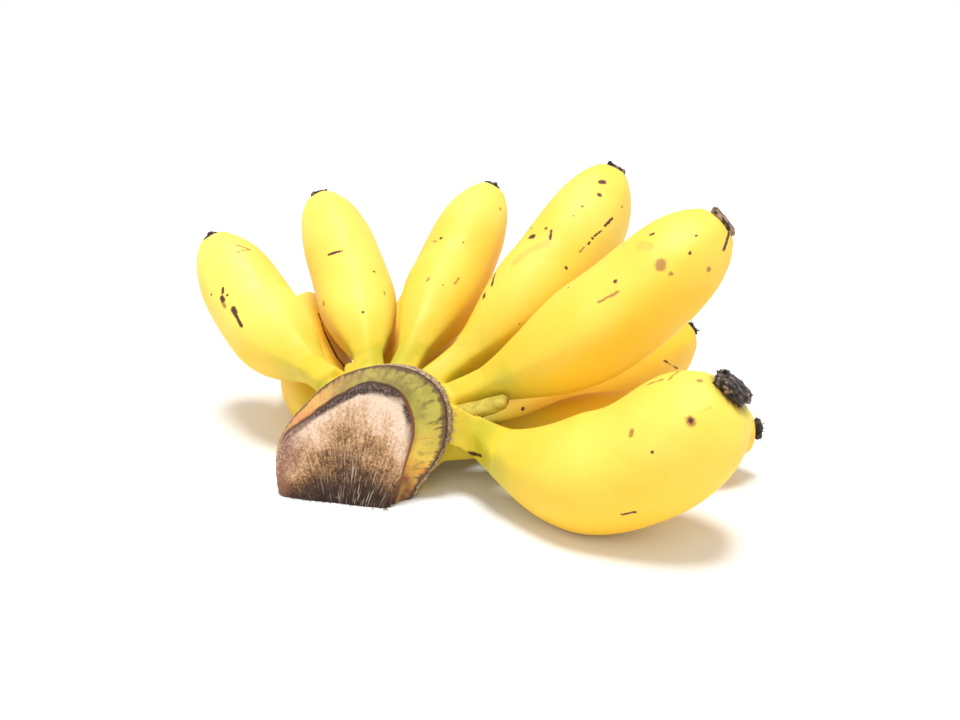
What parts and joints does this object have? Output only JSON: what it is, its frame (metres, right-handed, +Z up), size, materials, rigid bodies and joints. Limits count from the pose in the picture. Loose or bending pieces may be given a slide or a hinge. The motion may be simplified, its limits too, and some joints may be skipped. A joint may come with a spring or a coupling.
{
  "type": "hand of baby bananas",
  "caption": "A hand of ripe baby bananas lying on a table: plump yellow fingers in two rows fanning out of one cut brown crown.",
  "frame": {"origin": "on the table under the middle of the hand's bounding box", "axes": "+Z up off the table; +X along the hand's long side, to the right as seen from the cut face of the crown; +Y away from the cut face, the way the fruits fan out"},
  "size_m": [0.1998, 0.1679, 0.0931],
  "materials": {
    "ripe_peel": "satin",
    "crown_cut_surface": "matte",
    "dried_blossom": "matte",
    "green_peel": "satin"
  },
  "bodies": {
    "root": {"crown": "crown_cut_surface", "finger_upper_1": "ripe_peel", "finger_upper_2": "ripe_peel", "finger_upper_3": "ripe_peel", "finger_upper_4": "ripe_peel", "finger_upper_5": "ripe_peel", "finger_upper_6": "ripe_peel", "finger_lower_1": "ripe_peel", "finger_lower_2": "ripe_peel", "finger_lower_3": "ripe_peel", "finger_lower_4": "ripe_peel", "finger_lower_5": "ripe_peel", "blossom_tip_upper_1": "dried_blossom", "blossom_tip_upper_2": "dried_blossom", "blossom_tip_upper_3": "dried_blossom", "blossom_tip_upper_4": "dried_blossom", "blossom_tip_upper_5": "dried_blossom", "blossom_tip_upper_6": "dried_blossom", "blossom_tip_lower_1": "dried_blossom", "blossom_tip_lower_2": "dried_blossom", "blossom_tip_lower_3": "dried_blossom", "blossom_tip_lower_4": "dried_blossom", "blossom_tip_lower_5": "dried_blossom", "undeveloped_finger": "green_peel"}
  },
  "joints": []
}
